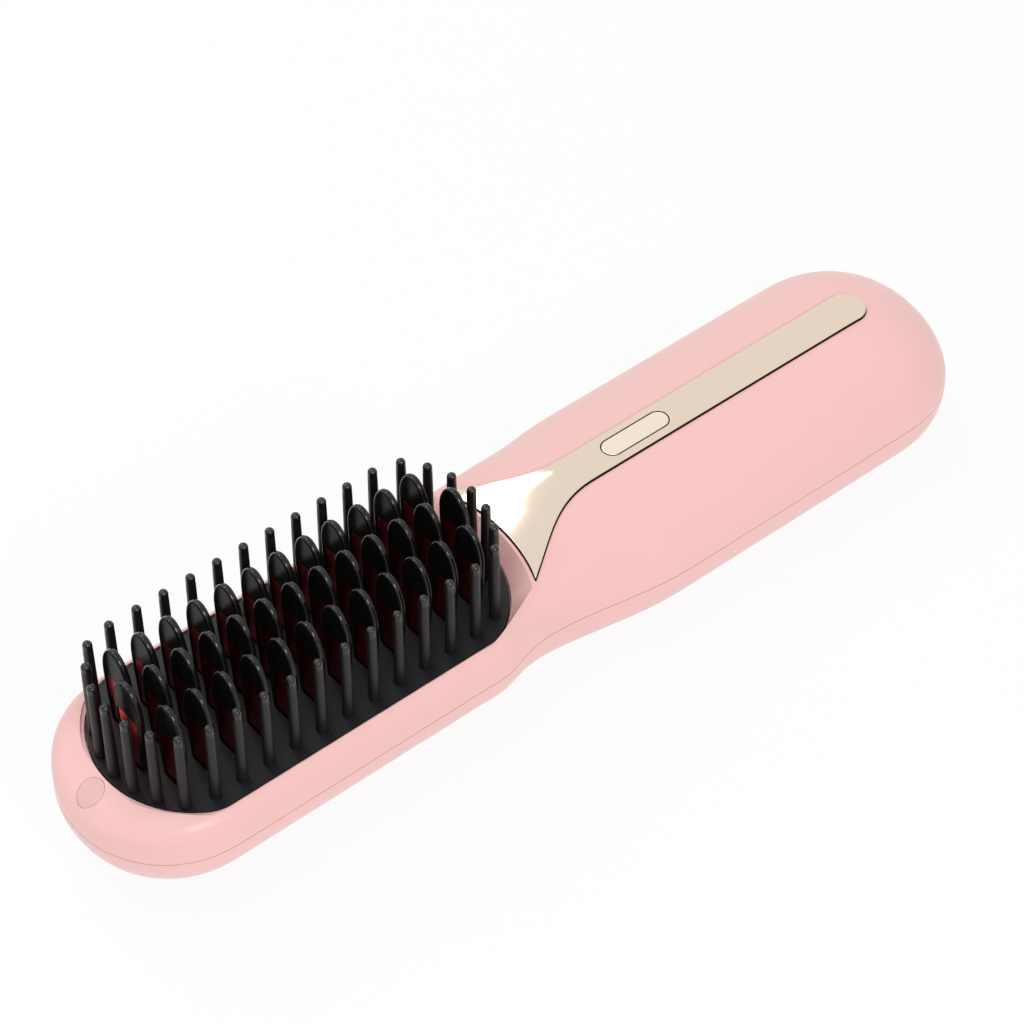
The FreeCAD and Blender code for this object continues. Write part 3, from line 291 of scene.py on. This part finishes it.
steel = drawn_metal(
    "plain_steel", (0.56, 0.56, 0.57), roughness=0.32, streak_axis=Z, relief=2 * MICRON)
nickel = drawn_metal(
    "nickel_strip", (0.66, 0.63, 0.56), roughness=0.28, streak_axis=Y, relief=2 * MICRON)
aluminium = drawn_metal(
    "milled_aluminium", (0.7, 0.71, 0.73), roughness=0.35, streak_axis=X, relief=3 * MICRON)
red_anodised = drawn_metal(
    "red_anodised_fin", FIN_RED, roughness=0.22, streak_axis=Z, relief=0.8 * MICRON,
    variation=0.12)
black_cap = cap_moulding()
black_pin = pin_moulding()
champagne = trim_plating()
gilt_button = button_plating()
board_green = printed_board()

looks = {
    pink_shell: ["top_casing", "bottom_casing"],
    pink_plug: ["screw_plug"],
    champagne: ["top_trim"],
    gilt_button: ["power_button"],
    black_comb: ["comb_plate"],
    black_pin: ["perimeter_pins"],
    red_anodised: ["heating_fins"],
    black_cap: ["fin_caps"],
    aluminium: ["heater_plate", "thermal_fuse"],
    white_ceramic: ["ceramic_heater"],
    mica_sheet: ["heat_insulator"],
    steel: [
        "heater_clamp", "clamp_screws", "board_screws", "socket_shell", "nose_screw", "neck_screws",
    ],
    dark_resin: ["heater_frame", "switch_body", "socket_tongue"],
    glazed_bead: ["thermistor"],
    cell_wrap: ["near_cell", "far_cell"],
    nickel: ["cell_links"],
    grey_resin: ["battery_cradle", "switch_plunger"],
    board_green: ["control_board", "charge_board"],
    lead_white: ["heater_leads", "sensor_leads"],
    lead_red: ["battery_leads", "charge_leads"],
}
for material, names in looks.items():
    for name in names:
        nodes[name].data.materials.clear()
        nodes[name].data.materials.append(material)


# Studio: white floor that keeps a faint shadow, even white surroundings and soft lamps

FLOOR_HALF = 3.0
FLOOR_PALE = (0.92, 0.92, 0.92, 1.0)
FLOOR_WHITE_SHARE = 0.9
SURROUNDINGS_STRENGTH = 0.52
BRUSH_MIDDLE = (0.0, 0.0, 0.02)
BACK_LAMP_X, BACK_LAMP_Y = -0.026, 0.856

SENSOR_WIDTH_MM, LENS_MM = 36.0, 120.5
CAMERA_PLACE = Vector((-0.2885, -0.3533, 0.5329))
CAMERA_RIGHT = Vector((0.77670, -0.62987, 0.0))
CAMERA_UP = Vector((0.46676, 0.57557, 0.67146))
CAMERA_AHEAD = Vector((0.42293, 0.52152, -0.74105))


def stand(item):
    """Put a floor, lamp or camera into the scene."""
    bpy.context.scene.collection.objects.link(item)


def seen_white(wiring, pale, white, share):
    """White for the eye, for reflections and through glass by a share, pale for other light."""
    camera = wiring.add("ShaderNodeLightPath", output="Is Camera Ray")
    seen = wiring.math("MAXIMUM", camera, camera.other("Is Glossy Ray"))
    seen = wiring.math("MAXIMUM", seen, camera.other("Is Transmission Ray"))
    return wiring.add("ShaderNodeMixShader", inputs={"Fac": seen * share, 1: pale, 2: white})


def white_floor():
    """Large pale floor under the brush."""
    mesh = bpy.data.meshes.new("floor")
    signs = [(-1, -1), (1, -1), (1, 1), (-1, 1)]
    corners = [(x * FLOOR_HALF, y * FLOOR_HALF, 0.0) for x, y in signs]
    mesh.from_pydata(corners, [], [(0, 1, 2, 3)])
    floor = bpy.data.objects.new("floor", mesh)
    stand(floor)
    material = bpy.data.materials.new("white_floor")
    wiring = Wiring(material)
    wiring.tree.nodes.clear()
    pale = wiring.add("ShaderNodeBsdfDiffuse", inputs={"Color": FLOOR_PALE})
    white = wiring.add("ShaderNodeEmission", inputs={"Color": WHITE, "Strength": 1.0})
    mixed = seen_white(wiring, pale, white, FLOOR_WHITE_SHARE)
    wiring.add("ShaderNodeOutputMaterial", inputs={"Surface": mixed})
    mesh.materials.append(material)


def surroundings():
    """Even white light from all round, plain white to the eye."""
    world = bpy.data.worlds.new("studio")
    wiring = Wiring(world)
    wiring.tree.nodes.clear()
    inputs = {"Color": WHITE, "Strength": SURROUNDINGS_STRENGTH}
    light = wiring.add("ShaderNodeBackground", inputs=inputs)
    white = wiring.add("ShaderNodeBackground", inputs={"Color": WHITE, "Strength": 1.0})
    mixed = seen_white(wiring, light, white, share=1.0)
    wiring.add("ShaderNodeOutputWorld", inputs={"Surface": mixed})
    bpy.context.scene.world = world


def lamp(name, place, aim, wide, high, power, roll=0.0):
    """Soft rectangular lamp that faces a point, rolled about its own line of sight."""
    light = bpy.data.lights.new(name, "AREA")
    light.shape = "RECTANGLE"
    light.size = wide
    light.size_y = high
    light.energy = power
    item = bpy.data.objects.new(name, light)
    item.location = place
    turn = (Vector(aim) - Vector(place)).to_track_quat("-Z", "Y")
    item.rotation_euler = (turn @ Quaternion((0.0, 0.0, 1.0), roll)).to_euler()
    stand(item)


def photo_camera():
    """Long lens from the near left, above."""
    camera = bpy.data.cameras.new("camera")
    camera.sensor_width = SENSOR_WIDTH_MM
    camera.lens = LENS_MM
    item = bpy.data.objects.new("camera", camera)
    turn = Matrix((CAMERA_RIGHT, CAMERA_UP, -CAMERA_AHEAD)).transposed().to_4x4()
    turn.translation = CAMERA_PLACE
    item.matrix_world = turn
    stand(item)
    bpy.context.scene.camera = item


white_floor()
surroundings()
lamp("key_lamp", (-0.25, -0.95, 0.8), BRUSH_MIDDLE, wide=0.4, high=0.4, power=5.6)
lamp("top_lamp", (-0.3, 0.1, 1.25), BRUSH_MIDDLE, wide=0.4, high=0.4, power=2.2)
lamp("rim_lamp", (-0.75, 0.75, 0.8), BRUSH_MIDDLE, wide=0.3, high=0.3, power=1.0)
# Faces straight down, where the far half of the flare mirrors it
lamp("back_lamp", (BACK_LAMP_X, BACK_LAMP_Y, 1.03), (BACK_LAMP_X, BACK_LAMP_Y, 0.0),
     wide=0.72, high=0.6, power=4.6, roll=math.radians(35.0))
photo_camera()
bpy.context.scene.view_settings.view_transform = "Standard"
